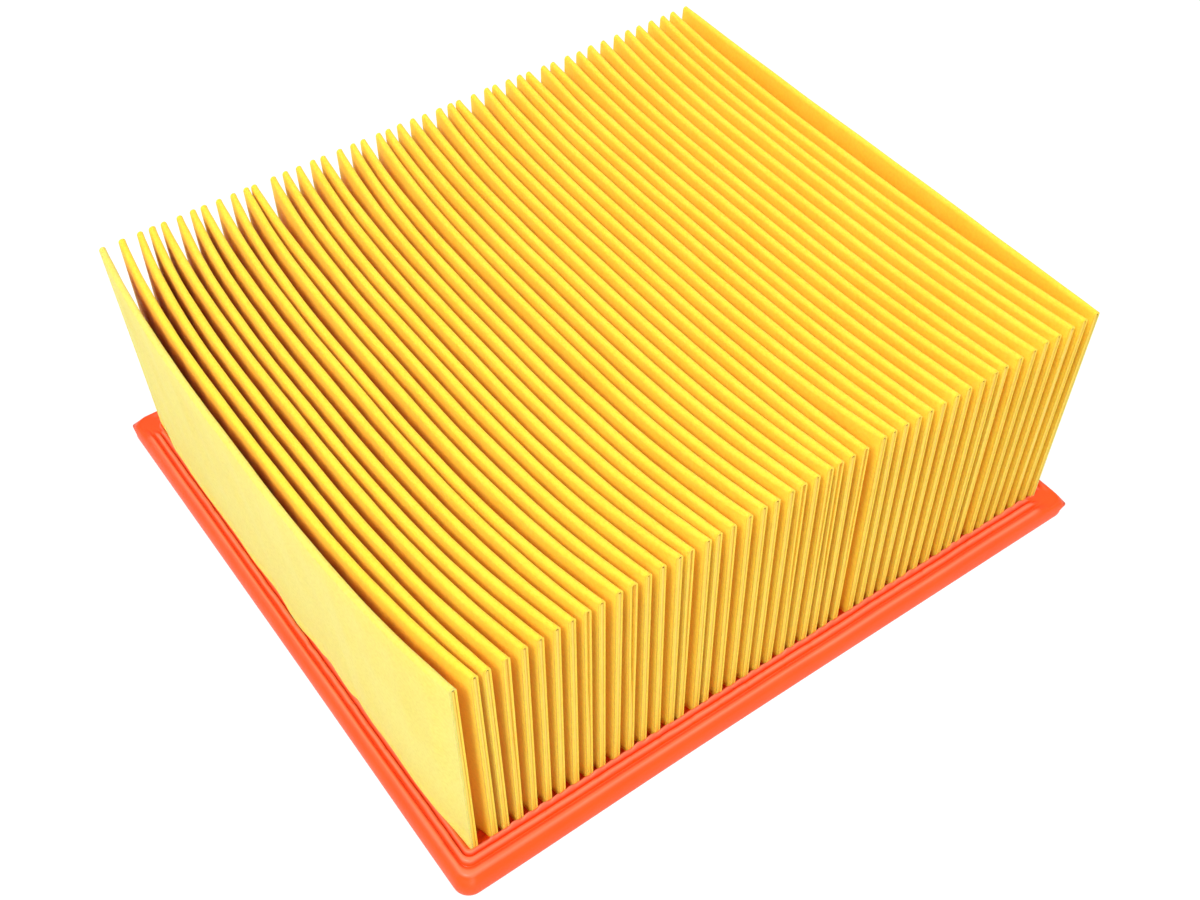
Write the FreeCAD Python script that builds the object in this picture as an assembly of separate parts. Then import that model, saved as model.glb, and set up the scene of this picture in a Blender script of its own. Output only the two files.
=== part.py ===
import FreeCAD, Part
import math
import os

# Panel air filter: one long sheet of filter paper, folded into tall pleats, with its lower edge
# moulded into a soft polyurethane seal frame. Glue seams close each pleat at both of its ends, so
# that air can only pass through the paper.
#
# Millimetres. X runs across the pleats, Y along them and Z up. The origin is on the underside of
# the seal frame, at the centre of its outline.

# Whole filter
FRAME_X = 220.0
FRAME_Y = 200.0
FILTER_HEIGHT = 80.0

# Filter paper
PLEAT_COUNT = 47
PLEAT_PITCH = 4.4
PLEAT_LENGTH = 185.0
PAPER_THICKNESS = 0.55
FOLD_OUTSIDE_RADIUS = 0.9
LOWER_FOLD_HEIGHT = 1.4        # underside of the lower folds, above the frame's underside

# Glue seams
SEAM_DEPTH = 3.0               # along the pleat, in from its end

# Seal frame
RIM_WIDTH = 6.0                # moulded profile, from the outline to the ledge
CORNER_RADIUS = 6.5
EDGE_ROUND = 0.9               # outer lower edge
RIDGE_INSET = 2.4              # crest of the outer ridge, in from the outline
RIDGE_HEIGHT = 6.0
GROOVE_INSET = 3.6
GROOVE_HEIGHT = 5.0
LIP_INSET = 4.9
LIP_HEIGHT = 6.4
CREASE_HEIGHT = 5.8
LEDGE_HEIGHT = 6.1
LEDGE_WIDTH = 1.2              # flat land between the moulded profile and the potting
POTTING_HEIGHT = 6.9           # the foam rises between the pleats
SHOULDER_HEIGHT = 5.7          # where the ridge and the lip meet the groove
CREST_HALF_WIDTH = 0.45
LIP_HALF_WIDTH = 0.7
FACE_BULGE = 0.2               # how far the sloping outer face stands out from flat
POTTING_OVER_ENDS = 4.5        # how much of each pleat's length is cast into the frame
POTTING_OVER_SIDES = 2.0       # how far the frame reaches past the outermost paper walls

V = FreeCAD.Vector
UP = V(0, 0, 1)

fold_centre_radius = FOLD_OUTSIDE_RADIUS - PAPER_THICKNESS / 2
fold_inside_radius = FOLD_OUTSIDE_RADIUS - PAPER_THICKNESS
upper_centre_z = FILTER_HEIGHT - FOLD_OUTSIDE_RADIUS
lower_centre_z = LOWER_FOLD_HEIGHT + FOLD_OUTSIDE_RADIUS
half_pitch = PLEAT_PITCH / 2
near_end_y = -PLEAT_LENGTH / 2

# A wall touches the fold above it on one side and the fold below it on the other, so it leans by
# this angle from the vertical.
fold_drop = upper_centre_z - lower_centre_z
wall_lean = math.acos(2 * fold_centre_radius / math.hypot(half_pitch, fold_drop))
wall_lean -= math.atan2(fold_drop, half_pitch)


def pleat_x(index):
    """The middle of a pleat, counted from the -X side."""
    return (index - (PLEAT_COUNT - 1) / 2) * PLEAT_PITCH


def on_fold(x, z, radius, angle):
    """A point at an angle, from +X towards +Z, on a fold's arc."""
    return V(x + radius * math.cos(angle), near_end_y, z + radius * math.sin(angle))


def upper_arc(index, radius):
    """The arc over a pleat's upper fold, from its -X wall to its +X wall."""
    x = pleat_x(index)
    start = on_fold(x, upper_centre_z, radius, math.pi - wall_lean)
    crown = on_fold(x, upper_centre_z, radius, math.pi / 2)
    end = on_fold(x, upper_centre_z, radius, wall_lean)
    return start, crown, end


def lower_arc(index, radius):
    """The arc under the fold on a pleat's +X side, from that pleat to the next one."""
    x = pleat_x(index) + half_pitch
    start = on_fold(x, lower_centre_z, radius, math.pi + wall_lean)
    floor = on_fold(x, lower_centre_z, radius, -math.pi / 2)
    end = on_fold(x, lower_centre_z, radius, -wall_lean)
    return start, floor, end


def paper_side(upper_radius, lower_radius):
    """One side of the folded sheet's section, from -X to +X, as a list of edges."""
    first_foot = lower_arc(-1, lower_radius)[2]
    last_foot = lower_arc(PLEAT_COUNT - 1, lower_radius)[0]
    edges = []
    here = first_foot
    for index in range(PLEAT_COUNT):
        start, crown, end = upper_arc(index, upper_radius)
        edges.append(Part.makeLine(here, start))
        edges.append(Part.Arc(start, crown, end).toShape())
        here = end
        if index < PLEAT_COUNT - 1:
            start, floor, end = lower_arc(index, lower_radius)
            edges.append(Part.makeLine(here, start))
            edges.append(Part.Arc(start, floor, end).toShape())
            here = end
    edges.append(Part.makeLine(here, last_foot))
    return edges, first_foot, last_foot


def filter_paper():
    """The whole folded sheet, one solid of constant thickness."""
    upper, upper_first, upper_last = paper_side(FOLD_OUTSIDE_RADIUS, fold_inside_radius)
    lower, lower_first, lower_last = paper_side(fold_inside_radius, FOLD_OUTSIDE_RADIUS)
    lower.reverse()
    right_end = Part.makeLine(upper_last, lower_last)
    left_end = Part.makeLine(lower_first, upper_first)
    section = Part.Wire(upper + [right_end] + lower + [left_end])
    return Part.Face(section).extrude(V(0, PLEAT_LENGTH, 0))


def pleat_seam(index, y):
    """The glue that fills one pleat's end, between its two walls and above the frame."""
    left, crown, right = upper_arc(index, fold_inside_radius)
    spread = (left.z - POTTING_HEIGHT) * math.tan(wall_lean)
    left_foot = V(left.x - spread, near_end_y, POTTING_HEIGHT)
    right_foot = V(right.x + spread, near_end_y, POTTING_HEIGHT)
    section = Part.Wire([
        Part.makeLine(left_foot, left),
        Part.Arc(left, crown, right).toShape(),
        Part.makeLine(right, right_foot),
        Part.makeLine(right_foot, left_foot),
    ])
    seam = Part.Face(section).extrude(V(0, SEAM_DEPTH, 0))
    seam.translate(V(0, y - near_end_y, 0))
    return seam


def pleat_seams(y):
    """One seam for every pleat, starting at y."""
    return Part.makeCompound([pleat_seam(index, y) for index in range(PLEAT_COUNT)])


def rim_section(x, edge_y):
    """The moulded rim's profile as a face across X, with its outer edge at edge_y."""
    def at(inset, z):
        return V(x, edge_y + inset, z)

    corner = EDGE_ROUND * (1 - math.sqrt(0.5))
    ridge_out = RIDGE_INSET - CREST_HALF_WIDTH
    ridge_in = RIDGE_INSET + CREST_HALF_WIDTH
    lip_out = LIP_INSET - LIP_HALF_WIDTH
    lip_in = LIP_INSET + LIP_HALF_WIDTH
    face_middle = (ridge_out / 2 - FACE_BULGE, (EDGE_ROUND + SHOULDER_HEIGHT) / 2)
    rounded = [
        ((EDGE_ROUND, 0), (corner, corner), (0, EDGE_ROUND)),
        ((0, EDGE_ROUND), face_middle, (ridge_out, SHOULDER_HEIGHT)),
        ((ridge_out, SHOULDER_HEIGHT), (RIDGE_INSET, RIDGE_HEIGHT), (ridge_in, SHOULDER_HEIGHT)),
        ((ridge_in, SHOULDER_HEIGHT), (GROOVE_INSET, GROOVE_HEIGHT), (lip_out, SHOULDER_HEIGHT)),
        ((lip_out, SHOULDER_HEIGHT), (LIP_INSET, LIP_HEIGHT), (lip_in, CREASE_HEIGHT)),
    ]
    straight = [(lip_in, CREASE_HEIGHT), (RIM_WIDTH, LEDGE_HEIGHT), (RIM_WIDTH, 0), (EDGE_ROUND, 0)]
    edges = [Part.Arc(at(*a), at(*b), at(*c)).toShape() for a, b, c in rounded]
    edges += [Part.makeLine(at(*a), at(*b)) for a, b in zip(straight, straight[1:])]
    return Part.Face(Part.Wire(edges))


def rim_pieces():
    """The rim's four straight runs, each with the corner that follows it."""
    pieces = []
    for turn in range(4):
        half_run, half_across = FRAME_X / 2, FRAME_Y / 2
        if turn % 2:
            half_run, half_across = half_across, half_run
        reach = half_run - CORNER_RADIUS
        run = rim_section(-reach, -half_across).extrude(V(2 * reach, 0, 0))
        pivot = V(reach, CORNER_RADIUS - half_across, 0)
        corner = rim_section(reach, -half_across).revolve(pivot, UP, 90)
        for piece in (run, corner):
            piece.rotate(V(0, 0, 0), UP, 90 * turn)
            pieces.append(piece)
    return pieces


def centred_box(size_x, size_y, low_z, high_z):
    return Part.makeBox(size_x, size_y, high_z - low_z, V(-size_x / 2, -size_y / 2, low_z))


def inset_block(inset, height):
    """A flat block as high as given, standing in from the frame's outline."""
    return centred_box(FRAME_X - 2 * inset, FRAME_Y - 2 * inset, 0, height)


def seal_frame(paper):
    """The rim and the potting inside it, cast around the lower edge of the paper."""
    ledge = inset_block(RIM_WIDTH, LEDGE_HEIGHT)
    upright = [e for e in ledge.Edges if abs(e.tangentAt(e.FirstParameter).z) > 0.9]
    ledge = ledge.makeFillet(CORNER_RADIUS - RIM_WIDTH, upright)
    block = ledge.fuse(inset_block(RIM_WIDTH + LEDGE_WIDTH, POTTING_HEIGHT))
    paper_x = paper.BoundBox.XLength
    clean_air_opening = centred_box(
        paper_x - 2 * POTTING_OVER_SIDES,
        PLEAT_LENGTH - 2 * POTTING_OVER_ENDS,
        -1,
        POTTING_HEIGHT + 1,
    )
    potting = block.cut(clean_air_opening).cut(paper)
    return potting.multiFuse(rim_pieces()).removeSplitter()


paper = filter_paper()
nodes = {
    "filter_paper": paper,
    "seal_frame": seal_frame(paper),
    "front_pleat_seams": pleat_seams(near_end_y),
    "rear_pleat_seams": pleat_seams(-near_end_y - SEAM_DEPTH),
}

os.makedirs("parts", exist_ok=True)
for name, shape in nodes.items():
    shape.exportStep("parts/" + name + ".step")
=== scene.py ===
import math

import bpy
import numpy as np
from mathutils import Matrix, Vector


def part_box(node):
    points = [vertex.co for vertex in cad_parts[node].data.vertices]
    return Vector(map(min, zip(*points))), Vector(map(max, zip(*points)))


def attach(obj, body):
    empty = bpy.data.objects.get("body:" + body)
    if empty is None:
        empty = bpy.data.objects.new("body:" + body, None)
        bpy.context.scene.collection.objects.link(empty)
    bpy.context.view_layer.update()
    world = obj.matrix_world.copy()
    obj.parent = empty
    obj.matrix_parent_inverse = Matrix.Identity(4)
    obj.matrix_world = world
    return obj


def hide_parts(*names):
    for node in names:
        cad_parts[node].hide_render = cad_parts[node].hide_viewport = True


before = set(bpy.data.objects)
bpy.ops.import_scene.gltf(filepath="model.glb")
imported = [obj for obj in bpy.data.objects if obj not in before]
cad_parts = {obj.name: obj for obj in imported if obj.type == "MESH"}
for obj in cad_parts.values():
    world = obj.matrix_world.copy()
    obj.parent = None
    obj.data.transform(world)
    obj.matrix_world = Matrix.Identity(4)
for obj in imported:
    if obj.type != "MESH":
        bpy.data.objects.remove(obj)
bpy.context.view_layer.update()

# A pleated panel air filter. The frame gives where each part is. This script folds the paper anew
# with the bends and uneven gaps of a real one, and moulds the seal around its foot. Shapes are
# worked out in millimetres, X across the pleats, Y along them, and turned into metres at the end.
MM = 0.001
random = np.random.default_rng(47)

# Filter paper
PLEAT_COUNT = 47
PAPER_THICKNESS = 0.55
FOOT_HALF_WIDTH = 1.575        # from a pleat's middle to the middle of its paper, at the foot
CREST_HALF_WIDTH = 0.8
FRONT_PINCHED_HALF_WIDTH = 0.66    # where the glue closes a pleat's end
REAR_PINCHED_HALF_WIDTH = 0.7
CREST_RISE = 0.8               # from the end of the straight wall to the top of the fold
CREST_PINCH = 6.0              # how far in from its end a pleat is narrowed, at the crest
FOOT_PINCH = 15.0              # the same at its foot
FULLY_PINCHED = 1.6            # the stretch at the end that is closed all the way
SLIT_START = 0.35              # a slit in a pleat's end opens above this share of its height
WALL_STEPS = 8
FOLD_STEPS = 6
POINTS_PER_PLEAT = 2 * WALL_STEPS + 2 * (FOLD_STEPS - 1)
STATION_GAP = 2.4
FLUTE_PITCH = 12.5
FLUTE_HEIGHT = 0.42
OUTERMOST = ((0, -1.0), (PLEAT_COUNT - 1, 1.0))    # the walls with nothing beside them
FOOT_STEPS = (57.0, 72.5)      # where an outermost wall steps back from the seal, from the front end
FOOT_STEP_SIZE = 0.8

# Painted shade on the paper, which turns it deep orange down in the gaps: 0 on the outermost faces, which
# are coloured paler, and 1 down in the gaps
CREST_SHADE = 0.15             # at the other crests
SHADE_REACH = 7.0              # it is 1 this far below the crests
END_SHADE_REACH = 3.5          # and this far in from the pleats' ends

# How the crests stand off from the pleats' feet, across the pack
CREST_BOW = -6.0               # at mid-length, over most of the pack
FIRST_CREST_BOW = -7.0
LAST_CREST_LEAN = 4.6          # the last pleat leans the other way, all along
FIRST_FRONT_LEANS = (-0.4, 0.9, -0.1)
FIRST_REAR_LEANS = (-2.3, -0.7, 0.5, -0.1, -0.9, -0.3)
LEAN_PROFILE = 1.12            # lean grows with this power of the height
END_REACH_POWER = 2.8          # how fast an end's own offsets fade towards mid-length
END_FOOT_POWER = 4             # a further power, because they fade sooner at the foot

# Glue seams
GLUE_DEPTHS = (0.08, 1.6, 3.0)     # from the pleat's end
GLUE_RECESS = 0.9              # how far a slit sets the glue back

# Seal frame, as insets from its outline and heights above its underside
CORNER_BLOCK = 13.5            # along both sides, the stretch that turns the corner
CORNER_STEPS = 36
RUN_STEP = 0.42
PLAIN_CORNERS = (0, 2)         # the rim's ridge and lip die out into a flat here
PLAIN_CORNER_HEIGHT = 4.5
PLAIN_CORNER_FADE = 0.32       # share of the way round, at either end
HIGHLIGHT_HEIGHTS = (5.3, 6.1)     # painted highlight: the rim's crests are coloured paler and pinker between these heights
NEAR_CORNER = 3                # the front left one, counting from the front right
NEAR_CORNER_SPREAD = (0.4, 0.9)    # how far the outer face flares there
NEAR_CORNER_REACH = 55.0
EAR_HEIGHT = 2.9               # the thin flash at the other corners
EAR_THICKNESS = 0.6
EAR_RADIUS = 0.7

# First and last rows of the rim's profile
OUTER_ROWS = (0, 8)
FLATTENED_ROWS = (6, 29)       # in a plain corner
LIP_ROWS = (17, 22)
POTTING_ROWS = (25, 36)

# Camera and lights
CAMERA_PLACE = (-0.1862, -0.2678, 0.3726)
CAMERA_FORWARD = (0.38755, 0.54386, -0.74433)
CAMERA_RIGHT = (0.81215, -0.58343, -0.00344)
CAMERA_LENS = 46.95
FLOOR_SIZE = 40.0
WORLD_STRENGTH = 0.48
LIGHTS_AIM = (0.0, 0.0, 0.05)
LIGHTS = (                     # name, place, diameter, power
    ("key", (-0.76, -0.36, 1.1), 0.4, 12.0),
    ("over", (0.5, -0.35, 1.2), 0.7, 6.5),
    ("rim", (-0.4, 0.8, 1.15), 0.6, 4.0),
    ("fill", (-0.5, -1.25, 0.5), 0.5, 4.0),
)


def millimetres(node):
    """The lower and the upper corner of a node's box."""
    low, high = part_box(node)
    return np.array(low) / MM, np.array(high) / MM


paper_low, paper_high = millimetres("filter_paper")
seal_high = millimetres("seal_frame")[1]
pleat_length = paper_high[1] - paper_low[1]
pleat_span = paper_high[0] - paper_low[0] - 2 * FOOT_HALF_WIDTH - PAPER_THICKNESS
pleat_pitch = pleat_span / (PLEAT_COUNT - 1)
crest_height = paper_high[2] - PAPER_THICKNESS / 2
foot_height = paper_low[2] + PAPER_THICKNESS / 2 + CREST_RISE


def ease(t):
    t = np.clip(t, 0.0, 1.0)
    return t * t * (3.0 - 2.0 * t)


def waves(where, wavelength, size):
    """Smooth random waves about zero along a line."""
    steps = (where - np.min(where)) / wavelength
    values = random.normal(0.0, size, int(np.max(steps)) + 3)
    index = np.floor(steps).astype(int)
    part = ease(steps - index)
    return values[index] * (1.0 - part) + values[index + 1] * part


# ---------------------------------------------------------------- filter paper

def stations_along():
    """Distances from the front end of the pleats, closer together near both ends."""
    near = [0.0, 0.5, 1.2, 2.2, 3.4, 4.8, 6.4, 8.2, 10.2]
    count = int((pleat_length - 2 * near[-1]) / STATION_GAP)
    middle = np.linspace(near[-1], pleat_length - near[-1], count + 1)[1:-1]
    far = [pleat_length - d for d in reversed(near)]
    return np.array([*near, *middle, *far])


def towards_end(along):
    """How much of the front end's and of the rear end's own offset a place has."""
    share = along / pleat_length
    front = np.clip(1.0 - 2.0 * share, 0.0, 1.0) ** END_REACH_POWER
    rear = np.clip(2.0 * share - 1.0, 0.0, 1.0) ** END_REACH_POWER
    return front, rear


def uneven(size, least):
    """Random offsets for all pleats that keep neighbours at least so far apart."""
    offsets = random.normal(0.0, size, PLEAT_COUNT)
    gaps = np.maximum(pleat_pitch + np.diff(offsets), least)
    places = np.concatenate([[0.0], np.cumsum(gaps)])
    even = np.linspace(0.0, places[-1], PLEAT_COUNT)
    return places - even


def pleat_middles(along):
    """X of every pleat's middle at its foot and at its crest: two arrays, pleat by station."""
    share = np.arange(PLEAT_COUNT) / (PLEAT_COUNT - 1)
    even = (share - 0.5) * pleat_span
    front_part, rear_part = towards_end(along)
    front_foot = uneven(0.42, 2.9) + waves(share, 0.22, 0.8)
    rear_foot = uneven(0.42, 2.9) + waves(share, 0.22, 0.8)
    for offsets in (front_foot, rear_foot):
        offsets[[0, -1]] = 0.0
    foot = even[:, None] + np.outer(front_foot, front_part ** END_FOOT_POWER)
    foot = foot + np.outer(rear_foot, rear_part ** END_FOOT_POWER)

    # At both ends the crests stand nearly above the feet, and lean out over the last pleats.
    lean_front = front_foot + 4.4 * share ** 6 + random.normal(0.0, 0.22, PLEAT_COUNT)
    lean_rear = rear_foot - 1.2 + 6.6 * share ** 4 + uneven(0.38, 3.2)
    lean_front[:len(FIRST_FRONT_LEANS)] = FIRST_FRONT_LEANS
    lean_rear[:len(FIRST_REAR_LEANS)] = FIRST_REAR_LEANS
    lean_rear[-1] = lean_front[-1] + 1.2

    # In between they bow towards the first pleat, less and less over the last ones.
    bow = CREST_BOW * (1.0 - share ** 6 * 1.16)
    bow += waves(share, 0.3, 0.35) + random.normal(0.0, 0.22, PLEAT_COUNT)
    bow[0] = FIRST_CREST_BOW
    bow[-1] = LAST_CREST_LEAN
    crest = even[:, None] + bow[:, None]
    crest = crest + np.outer(lean_front - bow, front_part) + np.outer(lean_rear - bow, rear_part)
    return foot, crest


def from_nearest_end(along):
    return np.minimum(along, pleat_length - along)


def openness(along, height):
    """0 where the glue pinches a pleat shut, 1 where it stands fully open."""
    reach = FOOT_PINCH + (CREST_PINCH - FOOT_PINCH) * height[:, None]
    return ease((from_nearest_end(along)[None, :] - FULLY_PINCHED) / reach)


def flutes(along, height, start, tilt):
    """Ridges pressed into a wall, running up it, faded out at its crest and foot."""
    place = along[None, :] - start - tilt * height[:, None]
    ridge = (0.5 + 0.5 * np.cos(2 * math.pi * place / FLUTE_PITCH)) ** 3
    fade = ease((1.0 - height) / 0.11) * ease((height - 0.05) / 0.25)
    fade = fade * (0.45 + 0.55 * height)
    return ridge * fade[:, None]


def ripple(along, height, size):
    """Slow unevenness of one wall."""
    phase = random.uniform(0.0, 2 * math.pi, 4)
    length = random.uniform(0.8, 1.3, 2) * [38.0, 17.0]
    y, h = along[None, :], height[:, None]
    slow = np.sin(2 * math.pi * y / length[0] + phase[0] + 2.5 * h + 1.2 * np.sin(3 * h + phase[1]))
    quick = np.sin(2 * math.pi * y / length[1] + phase[2] - 3.5 * h + np.sin(2 * h + phase[3]))
    return size * (slow + 0.45 * quick) * (0.35 + 0.65 * np.sin(math.pi * h) ** 0.8)


def outermost_bulge(along, height):
    """How far an outermost wall swells over the seal near its foot, unevenly."""
    swell = 0.85 + waves(along, 13.0, 0.14)
    for place in FOOT_STEPS:
        before = place - along
        step = np.where(before > 0.0, np.exp(-before / 8.0), np.exp(before / 1.2))
        swell = swell - FOOT_STEP_SIZE * step
    return swell[None, :] * ((1.0 - height) ** 1.5)[:, None]


def pleat_walls(number, foot, crest, along, slits, flute_start):
    """X of a pleat's left wall and of its right one, level by station."""
    level = np.linspace(0.0, 1.0, WALL_STEPS)
    height = level[:, None]
    opened = openness(along, level)
    at_front = along < pleat_length / 2
    pinched = np.where(at_front, FRONT_PINCHED_HALF_WIDTH, REAR_PINCHED_HALF_WIDTH)[None, :]
    middle = foot + (crest - foot) * height ** LEAN_PROFILE
    open_half = FOOT_HALF_WIDTH + (CREST_HALF_WIDTH - FOOT_HALF_WIDTH) * height
    half = pinched + (open_half - pinched) * opened
    parted = np.where(at_front, *slits) * np.exp(-from_nearest_end(along) / 3.0)
    half = half + 0.2 * parted[None, :] * ease((height - SLIT_START) / 0.4)
    drift = random.normal(0.0, 0.5)
    walls = []
    for side in (-1.0, 1.0):
        pressed = flutes(along, level, flute_start + drift, random.uniform(-1.5, 3.0))
        bulge = FLUTE_HEIGHT * pressed * ease(from_nearest_end(along) / 9.0)
        uneven_wall = ripple(along, level, 0.13) * opened
        if (number, side) in OUTERMOST:
            bulge = bulge + outermost_bulge(along, level) * opened
        walls.append(middle + side * (half + bulge) + uneven_wall)
    return walls


def sheet_middle():
    """The folded sheet's middle surface: X and Z, path point by station.

    The stations and the size of the slit at every pleat's front and rear end come with it.
    """
    along = stations_along()
    height = np.linspace(0.0, 1.0, WALL_STEPS)[:, None]
    angle = np.linspace(0.0, math.pi, FOLD_STEPS + 1)[1:-1, None]
    foot, crest = pleat_middles(along)
    crest_drop = waves(np.arange(PLEAT_COUNT), 5.0, 0.12) + random.normal(0.0, 0.07, PLEAT_COUNT)
    slit = np.clip(random.normal(-0.45, 0.6, (2, PLEAT_COUNT)), 0.0, 1.0)
    flute_start = random.uniform(0.0, FLUTE_PITCH)
    xs, zs = [], []
    before = None
    for pleat in range(PLEAT_COUNT):
        left, right = pleat_walls(pleat, foot[pleat], crest[pleat], along, slit[:, pleat], flute_start)
        half = (right[-1] - left[-1]) / 2
        centre = (right[-1] + left[-1]) / 2
        rise = np.minimum(CREST_RISE, 1.12 * half)
        top = crest_height - 0.15 + crest_drop[pleat] + waves(along, 30.0, 0.06)
        z = foot_height + (top - rise - foot_height) * height
        if before is not None:
            valley_half = (left[0] - before) / 2
            valley_centre = (left[0] + before) / 2
            xs.append(valley_centre - valley_half * np.cos(angle))
            zs.append(foot_height - CREST_RISE * np.sin(angle) * np.ones_like(along))
        xs += [left, centre - half * np.cos(angle), right[::-1]]
        zs += [z, top - rise + rise * np.sin(angle), z[::-1]]
        before = right[0]
    return np.concatenate(xs), np.concatenate(zs), along, slit


def both_faces(x, z):
    """The sheet's upper and lower surface, half a thickness either side of its middle."""
    dx = np.gradient(x, axis=0)
    dz = np.gradient(z, axis=0)
    length = np.hypot(dx, dz)
    off_x = -dz / length * PAPER_THICKNESS / 2
    off_z = dx / length * PAPER_THICKNESS / 2
    return (x + off_x, z + off_z), (x - off_x, z - off_z)


def grid_faces(rows, columns, first=0, flip=False, closed=False):
    """Quads over a grid of points numbered row by row."""
    r, c = np.meshgrid(np.arange(rows if closed else rows - 1), np.arange(columns - 1), indexing="ij")
    a = first + r * columns + c
    b = first + ((r + 1) % rows) * columns + c
    quads = np.stack([a, a + 1, b + 1, b], axis=-1).reshape(-1, 4)
    return quads[:, ::-1] if flip else quads


def make_mesh(name, points, quads, flat_from=None):
    """A mesh object from points in millimetres. Faces from flat_from on keep flat shading."""
    mesh = bpy.data.meshes.new(name)
    mesh.vertices.add(len(points))
    mesh.vertices.foreach_set("co", np.asarray(points, np.float32).ravel() * MM)
    mesh.loops.add(quads.size)
    mesh.loops.foreach_set("vertex_index", quads.ravel().astype(np.int32))
    mesh.polygons.add(len(quads))
    mesh.polygons.foreach_set("loop_start", np.arange(0, quads.size, 4, dtype=np.int32))
    smooth = np.ones(len(quads), bool)
    if flat_from is not None:
        smooth[flat_from:] = False
    mesh.update(calc_edges=True)
    mesh.polygons.foreach_set("use_smooth", smooth)
    mesh.validate()
    thing = bpy.data.objects.new(name, mesh)
    bpy.context.scene.collection.objects.link(thing)
    return thing


def painted_gap_shade(z, along):
    """Painted shade: 0 on the outermost faces, little at the crests and the pleats' ends, 1 down in the
    gaps.
    """
    depth = ease((crest_height - z) / SHADE_REACH)
    depth = depth * ease(from_nearest_end(along) / END_SHADE_REACH)[None, :]
    depth = CREST_SHADE + (1.0 - CREST_SHADE) * depth
    depth[:WALL_STEPS + FOLD_STEPS - 1] = 0.0
    depth[-WALL_STEPS:] = 0.0
    return depth


def show_value(thing, name, values):
    """Give every vertex a value that the material reads."""
    shown = thing.data.attributes.new(name, "FLOAT", "POINT")
    shown.data.foreach_set("value", values.ravel().astype(np.float32))


def filter_paper():
    """One continuous folded sheet with its cut ends, and what the other pieces need of it."""
    x, z, along, slit = sheet_middle()
    upper, lower = both_faces(x, z)
    rows, columns = x.shape
    end_wave = waves(np.arange(rows), 12.0, 0.04)
    stretch = 1.0 - 2.0 * along / pleat_length
    y = paper_low[1] + along[None, :] + end_wave[:, None] * stretch[None, :]
    points = [np.stack([face_x, y, face_z], axis=-1).reshape(-1, 3)
              for face_x, face_z in (upper, lower)]
    count = rows * columns
    over = grid_faces(rows, columns, flip=True)
    under = grid_faces(rows, columns, count)
    edge = np.arange(rows - 1) * columns
    quads = [over, under]
    for column, flip in ((0, False), (columns - 1, True)):
        a = edge + column
        cut = np.stack([a, a + columns, a + columns + count, a + count], axis=-1)
        quads.append(cut[:, ::-1] if flip else cut)
    for row, flip in ((0, True), (rows - 1, False)):
        a = row * columns + np.arange(columns - 1)
        cut = np.stack([a, a + 1, a + 1 + count, a + count], axis=-1)
        quads.append(cut[:, ::-1] if flip else cut)
    flat_from = len(over) + len(under)
    thing = make_mesh("folded_paper", np.concatenate(points), np.concatenate(quads), flat_from)
    # Painted shade for the material: deep orange down in the gaps, paler on the outermost faces
    show_value(thing, "depth", np.tile(painted_gap_shade(z, along).ravel(), 2))
    return thing, x, z, along, slit


# ---------------------------------------------------------------- seal frame

def rim_profile():
    """The seal's section from its outer lower edge over the rim to its opening and back.

    Each row is an inset on the front and rear, an inset on the sides, a height, and a radius for
    the corner.
    """
    outer = [(0.8, 0.8, 0.0, 4.6), (0.3, 0.3, 0.06, 4.6), (0.06, 0.06, 0.25, 4.6), (0.0, 0.0, 0.6, 4.6),
             (0.04, 0.04, 1.5, 4.6), (0.22, 0.24, 2.7, 4.4), (0.6, 0.66, 3.75, 4.2), (1.05, 1.2, 4.5, 4.0),
             (1.36, 1.52, 4.85, 3.8)]
    ridge = [(1.55, 1.74, 5.3, 3.7), (1.8, 2.0, 5.78, 3.6), (2.2, 2.4, 6.0, 3.4),
             (2.75, 2.82, 5.93, 3.2), (3.3, 3.16, 5.6, 3.1)]
    groove = [(3.7, 3.4, 5.1, 3.0), (4.04, 3.62, 4.5, 2.9), (4.32, 3.84, 4.95, 2.8)]
    lip = [(4.5, 3.98, 5.66, 2.7), (4.68, 4.14, 6.1, 2.6), (4.94, 4.38, 6.34, 2.6), (5.3, 4.72, 6.4, 2.5),
           (5.68, 5.06, 6.26, 2.4), (5.94, 5.34, 5.86, 2.3)]
    ledge = [(6.06, 5.48, 5.2, 2.2), (6.32, 5.66, 4.4, 2.1), (6.56, 5.84, 5.2, 2.0),
             (6.66, 5.96, 6.0, 1.9)]
    potting = [(6.8, 6.1, 6.35, 1.6), (7.05, 6.3, 6.5, 1.5), (7.35, 6.55, 6.45, 1.4), (7.7, 6.9, 6.1, 1.3),
               (8.1, 7.3, 5.3, 1.2), (8.7, 7.7, 4.7, 1.1), (9.8, 8.1, 4.4, 1.0), (11.0, 8.5, 4.4, 0.9)]
    opening = [(11.7, 8.75, 4.4, 0.8), (12.0, 8.95, 4.1, 0.8), (12.0, 8.95, 0.5, 0.8),
               (11.75, 8.75, 0.12, 0.8), (11.3, 8.45, 0.0, 0.8)]
    return np.array(outer + ridge + groove + lip + ledge + potting + opening)


def in_rows(rows):
    """Which rows of the rim's profile a range has."""
    index = np.arange(len(rim_profile()))
    return (index >= rows[0]) & (index <= rows[1])


def rim_stations(half_run):
    """Where the stations of one straight side stand, between its corner blocks."""
    run = half_run - CORNER_BLOCK
    return np.linspace(-run, run, int(2 * run / RUN_STEP) + 1)[:-1]


def corner_path(part, run, across, start_inset, end_inset, radius):
    """A profile point's way round a corner. part goes from 0 to 1."""
    centre = (run - end_inset - radius, -across + start_inset + radius)
    start = np.array([run - CORNER_BLOCK, -across + start_inset])
    end = np.array([run - end_inset, -across + CORNER_BLOCK])
    third = part * 3.0
    if third <= 1.0:
        return start + (np.array([centre[0], start[1]]) - start) * third
    if third >= 2.0:
        return np.array([end[0], centre[1]]) + (end - np.array([end[0], centre[1]])) * (third - 2.0)
    angle = (third - 1.0) * math.pi / 2
    return np.array([centre[0] + radius * math.sin(angle), centre[1] - radius * math.cos(angle)])


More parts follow.
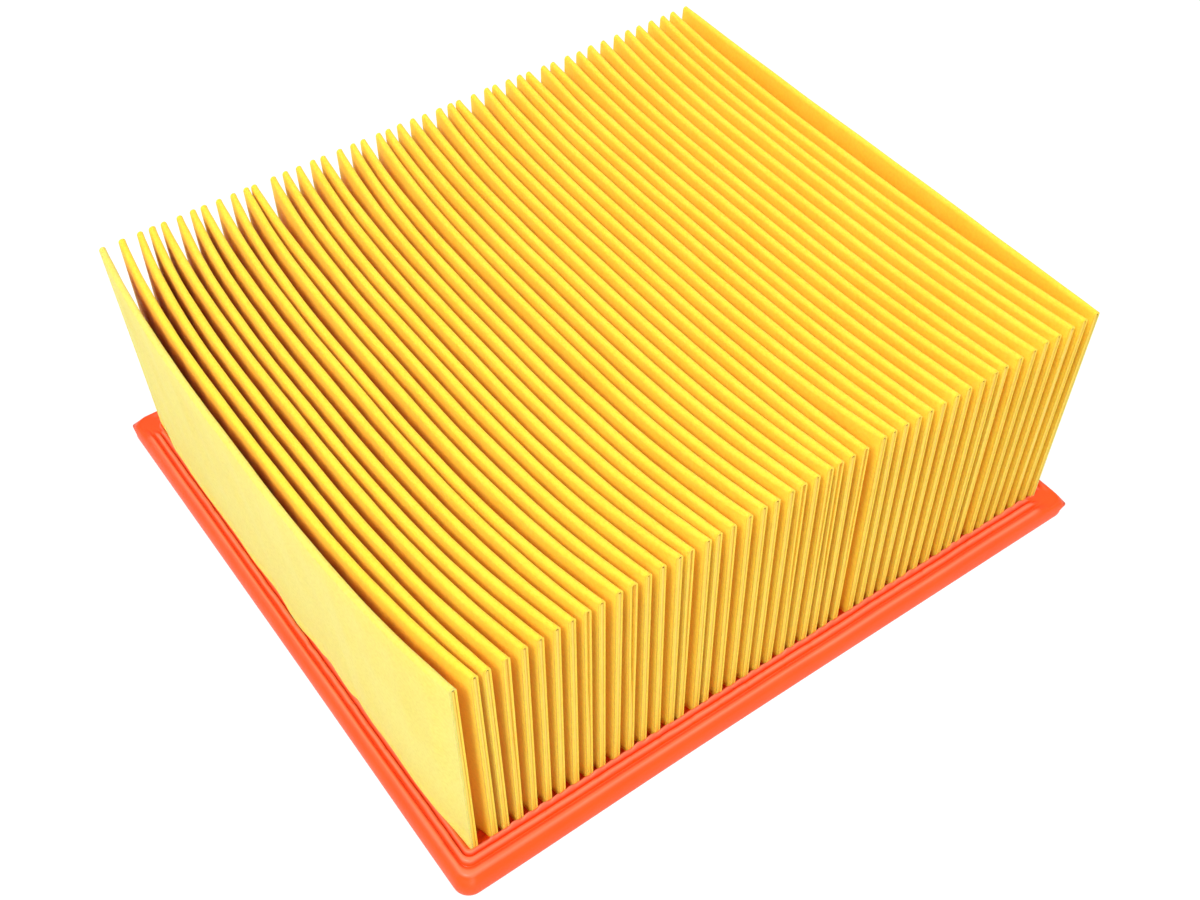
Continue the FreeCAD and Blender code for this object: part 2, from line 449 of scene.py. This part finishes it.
def mounds(x, band_x):
    """How high the foam stands between pleat ends: 0 at a band, 1 in a gap, with each gap's size."""
    after = np.clip(np.searchsorted(band_x, x), 1, len(band_x) - 1)
    left, right = band_x[after - 1], band_x[after]
    place = np.clip((x - left) / (right - left), 0.0, 1.0)
    swell = np.sin(math.pi * place) ** 1.4
    swell = np.where((x < band_x[0]) | (x > band_x[-1]), 0.0, swell)
    size = random.uniform(0.2, 1.3, len(band_x) + 1)
    return swell * size[after]


def notches(along, spacing, size):
    """Small dents at uneven spacing along the lip."""
    place = along.min() + random.uniform(0.0, spacing)
    dents = np.zeros_like(along)
    while place < along.max():
        width = random.uniform(0.35, 0.8)
        dents += random.uniform(0.3, 1.0) * np.exp(-((along - place) / width) ** 2)
        place += random.uniform(0.7, 1.3) * spacing
    return -size * np.minimum(dents, 1.0)


def corner_radii(corner, profile):
    """The profile's corner radii, drawn out to an ear at mid-height except at the near corner."""
    radius = profile[:, 3].copy()
    if corner == NEAR_CORNER:
        return radius
    flash = in_rows(OUTER_ROWS) * np.exp(-((profile[:, 2] - EAR_HEIGHT) / EAR_THICKNESS) ** 2)
    return radius * (1.0 - flash) + EAR_RADIUS * flash


def rim_side(profile, side, run, across, bands):
    """One straight side of the rim, station by row. side is 0 at the pleats' ends and 1 beside them."""
    along = rim_stations(run)
    inset = np.repeat(profile[None, :, side], len(along), axis=0)
    height = np.repeat(profile[None, :, 2], len(along), axis=0)
    upper = ease((profile[:, 2] - 0.9) / 2.0)
    height += waves(along, 24.0, 0.07)[:, None] * upper[None, :]
    inset += waves(along, 19.0, 0.08)[:, None] * upper[None, :]
    lip = in_rows(LIP_ROWS)
    height[:, lip] += notches(along, 8.5, 0.34)[:, None]
    height[:, lip] += waves(along, 2.3, 0.035)[:, None]
    inset[:, lip] += waves(along, 3.1, 0.05)[:, None]
    potting = in_rows(POTTING_ROWS)
    if side == 0:
        reach = np.interp(profile[:, 0], [6.6, 7.05, 7.4, 8.1, 12.0], [0.0, 0.8, 1.0, 0.1, 0.0])
        height += np.outer(mounds(along, bands), reach * potting)
        height += np.outer(waves(along, 1.1, 0.07), reach * potting)
    else:
        reach = np.interp(profile[:, 1], [5.9, 6.4, 7.4, 8.9], [0.0, 1.0, 1.0, 0.0])
        near_corner = ease((run - CORNER_BLOCK - np.abs(along)) / 9.0)
        creep = 0.1 + waves(along, 13.0, 0.22)
        height += np.outer(creep * near_corner, reach * potting)
    return np.stack([np.repeat(along[:, None], len(profile), axis=1), inset - across, height], -1)


def rim_corner(profile, corner, run, across):
    """The corner after a side, station by row, from that side's insets to the next one's."""
    side = corner % 2
    radii = corner_radii(corner, profile)
    index = np.arange(len(profile))
    flattened = ease((index - FLATTENED_ROWS[0]) / 3.0) * in_rows(FLATTENED_ROWS)
    points = np.empty((CORNER_STEPS, len(profile), 3))
    for step in range(CORNER_STEPS):
        part = step / CORNER_STEPS
        for number, (row, radius) in enumerate(zip(profile, radii)):
            points[step, number, :2] = corner_path(part, run, across, row[side], row[1 - side], radius)
            points[step, number, 2] = row[2]
        if corner in PLAIN_CORNERS:
            share = flattened * ease(part / PLAIN_CORNER_FADE) * ease((1.0 - part) / PLAIN_CORNER_FADE)
            points[step, :, 2] += (PLAIN_CORNER_HEIGHT - points[step, :, 2]) * share
    return points


def seal_frame(front_bands, rear_bands):
    """The polyurethane frame, moulded around the foot of the paper."""
    profile = rim_profile()
    half_x, half_y = seal_high[0], seal_high[1]
    blocks = []
    for turn in range(4):
        run, across = (half_x, half_y) if turn % 2 == 0 else (half_y, half_x)
        bands = front_bands if turn == 0 else -rear_bands[::-1]
        straight = rim_side(profile, turn % 2, run, across, bands)
        block = np.concatenate([straight, rim_corner(profile, turn, run, across)])
        angle = turn * math.pi / 2
        spin = np.array([[math.cos(angle), -math.sin(angle)], [math.sin(angle), math.cos(angle)]])
        block[:, :, :2] = block[:, :, :2] @ spin.T
        blocks.append(block)
    points = np.concatenate(blocks)
    from_corner = np.hypot(points[:, :, 0] + half_x, points[:, :, 1] + half_y)
    spread = np.exp(-(from_corner / NEAR_CORNER_REACH) ** 2) * ease(1.0 - profile[:, 0] / 4.0)[None, :]
    points[:, :, 0] -= NEAR_CORNER_SPREAD[0] * spread
    points[:, :, 1] -= NEAR_CORNER_SPREAD[1] * spread
    rows, columns = points.shape[:2]
    wrapped = grid_faces(rows, columns + 1, closed=True)
    row, column = np.divmod(wrapped, columns + 1)
    thing = make_mesh("polyurethane_seal", points.reshape(-1, 3), row * columns + column % columns)
    # Painted highlight: the rim's upper surfaces are coloured paler and pinker, by height
    painted_highlight = ease((points[:, :, 2] - HIGHLIGHT_HEIGHTS[0]) / (HIGHLIGHT_HEIGHTS[1] - HIGHLIGHT_HEIGHTS[0]))
    show_value(thing, "painted_highlight", painted_highlight)
    return thing


# ---------------------------------------------------------------- glue seams

def glue_points(left_x, right_x, heights, along, at_front, slit):
    """One seam's points, by depth, level and side, between a pleat's two walls."""
    points = np.empty((len(GLUE_DEPTHS), WALL_STEPS, 2, 3))
    for row, depth in enumerate(GLUE_DEPTHS):
        for level, amount in enumerate(np.linspace(0.0, 1.0, WALL_STEPS)):
            recess = GLUE_RECESS * slit * ease((amount - SLIT_START) / 0.2) * (row == 0)
            at = depth + recess if at_front else pleat_length - depth - recess
            left = np.interp(at, along, left_x[level])
            right = np.interp(at, along, right_x[level])
            high = np.interp(at, along, heights[level])
            middle = (left + right) / 2
            half = (right - left) / 2 - PAPER_THICKNESS * 0.42
            points[row, level, 0] = (middle - half, paper_low[1] + at, high)
            points[row, level, 1] = (middle + half, paper_low[1] + at, high)
    return points.reshape(-1, 3)


def glue_quads(at_front):
    """One seam's faces: its outer and inner end, and its two sides."""
    number = np.arange(len(GLUE_DEPTHS) * WALL_STEPS * 2).reshape(-1, WALL_STEPS, 2)
    quads = []
    for level in range(WALL_STEPS - 1):
        for row, inner in ((0, False), (-1, True)):
            end = number[row]
            quad = [end[level, 0], end[level, 1], end[level + 1, 1], end[level + 1, 0]]
            quads.append(quad[::-1] if inner == at_front else quad)
        for row in range(len(GLUE_DEPTHS) - 1):
            for side in (0, 1):
                near, far = number[row, :, side], number[row + 1, :, side]
                quad = [near[level], far[level], far[level + 1], near[level + 1]]
                quads.append(quad if (side == 1) == at_front else quad[::-1])
    return np.array(quads)


def glue_seams(name, x, z, along, at_front, slit):
    """Beads of glue between the two layers of every pleat's end."""
    points, quads = [], []
    for pleat in range(PLEAT_COUNT):
        left = pleat * POINTS_PER_PLEAT
        right = left + WALL_STEPS + FOLD_STEPS - 1
        left_x = x[left:left + WALL_STEPS]
        right_x = x[right:right + WALL_STEPS][::-1]
        heights = z[left:left + WALL_STEPS]
        seam = glue_points(left_x, right_x, heights, along, at_front, slit[pleat])
        quads.append(glue_quads(at_front) + pleat * len(seam))
        points.append(seam)
    return make_mesh(name, np.concatenate(points), np.concatenate(quads))


# ---------------------------------------------------------------- materials

def new_material(name):
    material = bpy.data.materials.new(name)
    material.use_nodes = True
    nodes = material.node_tree.nodes
    return material, nodes, material.node_tree.links, nodes["Principled BSDF"]


def noise(nodes, links, scale, detail=4.0, stretch=(1.0, 1.0, 1.0)):
    """A noise in the object's own metres. scale is in waves per metre."""
    place = nodes.new("ShaderNodeTexCoord")
    mapping = nodes.new("ShaderNodeMapping")
    mapping.inputs["Scale"].default_value = stretch
    texture = nodes.new("ShaderNodeTexNoise")
    texture.inputs["Scale"].default_value = scale
    texture.inputs["Detail"].default_value = detail
    links.new(place.outputs["Object"], mapping.inputs["Vector"])
    links.new(mapping.outputs["Vector"], texture.inputs["Vector"])
    return texture.outputs["Fac"]


def ramp(nodes, links, value, stops):
    """Colours from a value between 0 and 1."""
    node = nodes.new("ShaderNodeValToRGB")
    elements = node.color_ramp.elements
    while len(elements) < len(stops):
        elements.new(0.5)
    for element, (place, colour) in zip(elements, stops):
        element.position = place
        element.color = (*colour, 1.0)
    links.new(value, node.inputs["Fac"])
    return node.outputs["Color"]


def multiply(nodes, links, first, second):
    node = nodes.new("ShaderNodeMix")
    node.data_type = "RGBA"
    node.blend_type = "MULTIPLY"
    node.inputs["Factor"].default_value = 1.0
    links.new(first, node.inputs["A"])
    links.new(second, node.inputs["B"])
    return node.outputs["Result"]


def bump(nodes, links, shader, layers):
    """Several heights in a row. Each layer is a value, its depth in metres and its strength."""
    normal = None
    for height, depth, strength in layers:
        node = nodes.new("ShaderNodeBump")
        node.inputs["Distance"].default_value = depth
        node.inputs["Strength"].default_value = strength
        links.new(height, node.inputs["Height"])
        if normal is not None:
            links.new(normal, node.inputs["Normal"])
        normal = node.outputs["Normal"]
    links.new(normal, shader.inputs["Normal"])


def paper_material():
    """Resin-soaked yellow paper: matt, finely fibrous, slightly mottled, with painted shade down in the
    gaps.
    """
    material, nodes, links, shader = new_material("yellow_filter_paper")
    cloud = noise(nodes, links, 45.0, 3.0)
    tint = ramp(nodes, links, cloud, [(0.3, (0.95, 0.63, 0.11)), (0.7, (0.97, 0.67, 0.14))])
    # Painted shade: the depth value turns the paper deep orange down in the gaps and paler on the
    # outermost faces
    depth = nodes.new("ShaderNodeAttribute")
    depth.attribute_name = "depth"
    gap_shade_ramp = [(0.0, (0.79, 0.98, 1.0)), (CREST_SHADE, (1.0, 0.96, 0.38)), (1.0, (1.0, 0.66, 0.06))]
    tint = multiply(nodes, links, tint, ramp(nodes, links, depth.outputs["Fac"], gap_shade_ramp))
    grain = noise(nodes, links, 1100.0, 5.0)
    speckle = ramp(nodes, links, grain, [(0.3, (0.92, 0.9, 0.8)), (0.62, (1.0, 1.0, 1.0))])
    colour = multiply(nodes, links, tint, speckle)
    links.new(colour, shader.inputs["Base Color"])
    shader.inputs["Roughness"].default_value = 0.78
    shader.inputs["Specular IOR Level"].default_value = 0.2
    shader.inputs["Subsurface Weight"].default_value = 0.5
    shader.inputs["Subsurface Radius"].default_value = (1.0, 0.6, 0.15)
    shader.inputs["Subsurface Scale"].default_value = 0.0012
    shader.inputs["Sheen Weight"].default_value = 0.07
    shader.inputs["Sheen Roughness"].default_value = 0.5
    fibres = noise(nodes, links, 700.0, 6.0, (1.0, 0.5, 1.0))
    bump(nodes, links, shader, [(fibres, 0.0002, 0.15), (grain, 0.0001, 0.25)])
    return material


def seal_material():
    """Soft orange-red polyurethane: satin, faintly mottled, with a fine skin and a painted highlight on
    the rim's crests.
    """
    material, nodes, links, shader = new_material("red_polyurethane")
    cloud = noise(nodes, links, 70.0, 4.0)
    mottle = ramp(nodes, links, cloud, [(0.3, (0.95, 0.88, 0.88)), (0.7, (1.0, 1.0, 1.0))])
    # Painted highlight: paler, pinker colour on the rim's crests, by height
    painted_highlight = nodes.new("ShaderNodeAttribute")
    painted_highlight.attribute_name = "painted_highlight"
    highlight_tint = [(0.0, (0.9, 0.08, 0.005)), (1.0, (0.87, 0.17, 0.08))]
    tint = ramp(nodes, links, painted_highlight.outputs["Fac"], highlight_tint)
    links.new(multiply(nodes, links, tint, mottle), shader.inputs["Base Color"])
    shader.inputs["Roughness"].default_value = 0.38
    shader.inputs["Specular IOR Level"].default_value = 0.3
    skin = noise(nodes, links, 900.0, 4.0)
    dents = noise(nodes, links, 160.0, 3.0)
    bump(nodes, links, shader, [(dents, 0.0004, 0.35), (skin, 0.00008, 0.35)])
    return material


def glue_material():
    """Hard amber glue, a little glossy."""
    material, nodes, links, shader = new_material("amber_glue")
    cloud = noise(nodes, links, 300.0, 3.0)
    tint = ramp(nodes, links, cloud, [(0.3, (0.93, 0.59, 0.05)), (0.7, (0.96, 0.64, 0.065))])
    links.new(tint, shader.inputs["Base Color"])
    shader.inputs["Roughness"].default_value = 0.45
    skin = noise(nodes, links, 1200.0, 3.0)
    bump(nodes, links, shader, [(skin, 0.0001, 0.3)])
    return material


def floor_material():
    material, nodes, links, shader = new_material("white_floor")
    cloud = noise(nodes, links, 3.0, 2.0)
    tint = ramp(nodes, links, cloud, [(0.3, (0.2, 0.2, 0.205)), (0.7, (0.22, 0.22, 0.225))])
    links.new(tint, shader.inputs["Base Color"])
    shader.inputs["Roughness"].default_value = 0.9
    shader.inputs["Specular IOR Level"].default_value = 0.1
    shader.inputs["Emission Color"].default_value = (1.0, 0.99, 1.0, 1.0)
    shader.inputs["Emission Strength"].default_value = 0.84
    return material


# ---------------------------------------------------------------- scene

def add_floor():
    """A pale floor that reaches to the horizon."""
    bpy.ops.mesh.primitive_plane_add(size=FLOOR_SIZE, location=(0.0, 0.0, 0.0))
    floor = bpy.context.object
    floor.name = "floor"
    floor.data.materials.append(floor_material())


def add_light(name, place, size, power):
    data = bpy.data.lights.new(name, "AREA")
    data.shape = "DISK"
    data.size = size
    data.energy = power
    light = bpy.data.objects.new(name, data)
    light.location = place
    light.rotation_mode = "QUATERNION"
    light.rotation_quaternion = (Vector(LIGHTS_AIM) - Vector(place)).to_track_quat("-Z", "Y")
    bpy.context.scene.collection.objects.link(light)


def add_world():
    world = bpy.data.worlds.new("studio")
    world.use_nodes = True
    background = world.node_tree.nodes["Background"]
    background.inputs["Color"].default_value = (1.0, 1.0, 1.0, 1.0)
    background.inputs["Strength"].default_value = WORLD_STRENGTH
    bpy.context.scene.world = world


def add_camera():
    """The camera stands front left, above, looking down along the pleats."""
    data = bpy.data.cameras.new("camera")
    data.sensor_width = 36.0
    data.lens = CAMERA_LENS
    data.clip_start = 0.01
    data.clip_end = 20.0
    camera = bpy.data.objects.new("camera", data)
    forward = Vector(CAMERA_FORWARD).normalized()
    right = Vector(CAMERA_RIGHT)
    right = (right - forward * right.dot(forward)).normalized()
    up = right.cross(forward)
    turn = Matrix((right, up, -forward)).transposed()
    camera.matrix_world = Matrix.Translation(CAMERA_PLACE) @ turn.to_4x4()
    bpy.context.scene.collection.objects.link(camera)
    bpy.context.scene.camera = camera


def finish_piece(thing, material, node):
    """Give a piece its material, and let it stand for a node of the frame."""
    thing.data.materials.append(material)
    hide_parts(node)
    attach(thing, "root")


def band_places(x, column):
    """X of every pleat's middle at its foot, at one end."""
    left = np.arange(PLEAT_COUNT) * POINTS_PER_PLEAT
    right = left + 2 * WALL_STEPS + FOLD_STEPS - 2
    return (x[left, column] + x[right, column]) / 2


paper, sheet_x, sheet_z, sheet_along, slits = filter_paper()
finish_piece(paper, paper_material(), "filter_paper")
seal = seal_frame(band_places(sheet_x, 0), band_places(sheet_x, -1))
finish_piece(seal, seal_material(), "seal_frame")
glue = glue_material()
front_glue = glue_seams("front_glue_seams", sheet_x, sheet_z, sheet_along, True, slits[0])
finish_piece(front_glue, glue, "front_pleat_seams")
rear_glue = glue_seams("rear_glue_seams", sheet_x, sheet_z, sheet_along, False, slits[1])
finish_piece(rear_glue, glue, "rear_pleat_seams")

add_floor()
add_world()
for name, place, size, power in LIGHTS:
    add_light(name, place, size, power)
add_camera()
bpy.context.scene.view_settings.view_transform = "Standard"
